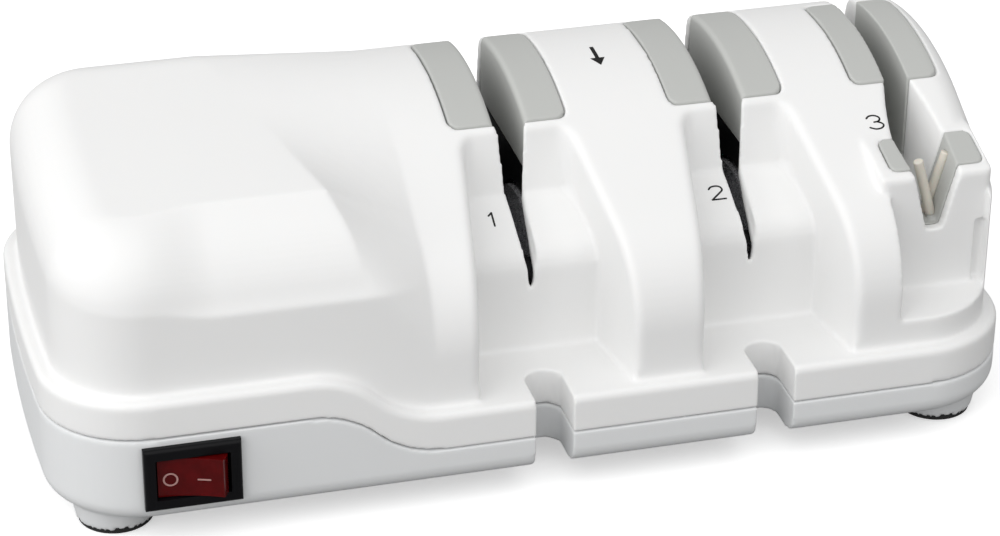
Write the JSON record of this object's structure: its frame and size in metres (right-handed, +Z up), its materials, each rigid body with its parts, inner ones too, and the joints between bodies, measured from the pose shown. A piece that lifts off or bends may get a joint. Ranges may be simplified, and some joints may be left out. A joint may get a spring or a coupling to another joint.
{
  "type": "electric knife sharpener",
  "caption": "Mains bench knife sharpener: white housing over a motor-driven grinding spindle, slotted powered stages, a crossed-rod manual stage, rocker switch and rubber feet.",
  "frame": {"origin": "centre of the object's box on the surface it stands on", "axes": "+X towards the manual stage, -Y towards the user, +Z up"},
  "size_m": [0.22, 0.1042, 0.0757],
  "materials": {
    "white_shell": "white injection-moulded ABS with a soft gloss",
    "white_base": "white ABS base moulding, satin",
    "liner_grey": "light warm grey fine-grained plastic",
    "guide_black": "black plastic guide, fine grain",
    "switch_black": "black switch moulding",
    "rocker_red": "translucent red rocker",
    "ceramic": "fired cream ceramic, fine grain",
    "rubber_black": "black non-slip rubber",
    "steel": "turned steel",
    "zinc_steel": "zinc-plated pressed steel",
    "grit": "steel rim coated with fine diamond grit",
    "plate_grey": "glass-filled nylon",
    "bronze": "sintered bronze",
    "copper": "enamelled copper",
    "ferrite": "sintered ferrite",
    "carbon": "pressed carbon",
    "board_green": "fibreglass board with its components"
  },
  "bodies": {
    "housing": {"upper_housing": "white_shell", "lower_housing": "white_base", "manual_slot_liner": "liner_grey", "rod_carrier": "liner_grey", "ceramic_rod_left": "ceramic", "ceramic_rod_right": "ceramic", "switch_bezel": "switch_black", "switch_terminals": "zinc_steel", "foot_pads": "rubber_black", "housing_screws": "steel", "cord_gland": "switch_black", "rectifier_board": "board_green", "filings_magnets": "ferrite", "motor_can": "zinc_steel", "motor_end_cap": "guide_black", "motor_brushes": "carbon", "motor_bushes": "bronze", "motor_magnets": "ferrite", "motor_straps": "zinc_steel", "strap_screws": "steel", "spindle_bearings": "bronze", "slot_1_liner_left": "liner_grey", "slot_1_liner_right": "liner_grey", "knife_guide_1": "guide_black", "slot_2_liner_left": "liner_grey", "slot_2_liner_right": "liner_grey", "knife_guide_2": "guide_black", "bearing_plate_1": "plate_grey", "bearing_plate_2": "plate_grey", "bearing_plate_3": "plate_grey"},
    "spindle": {"motor_shaft": "steel", "armature_core": "steel", "armature_windings": "copper", "commutator": "copper", "cooling_fan": "guide_black", "shaft_coupling": "plate_grey", "grinding_spindle": "steel", "coarse_wheel_left": "grit", "coarse_wheel_right": "grit", "fine_wheel_left": "grit", "fine_wheel_right": "grit", "wheel_circlips": "steel"},
    "rocker": {"rocker_switch": "rocker_red"}
  },
  "joints": [
    {"name": "spindle_spin", "type": "hinge", "parent": "housing", "child": "spindle", "pos_m": [0, -0.002, 0.031], "axis": [1, 0, 0], "continuous": true},
    {"name": "rocker_tilt", "type": "hinge", "parent": "housing", "child": "rocker", "pos_m": [-0.0798, -0.0472, 0.0176], "axis": [0, 0, 1], "range_deg": [0, 28]}
  ]
}
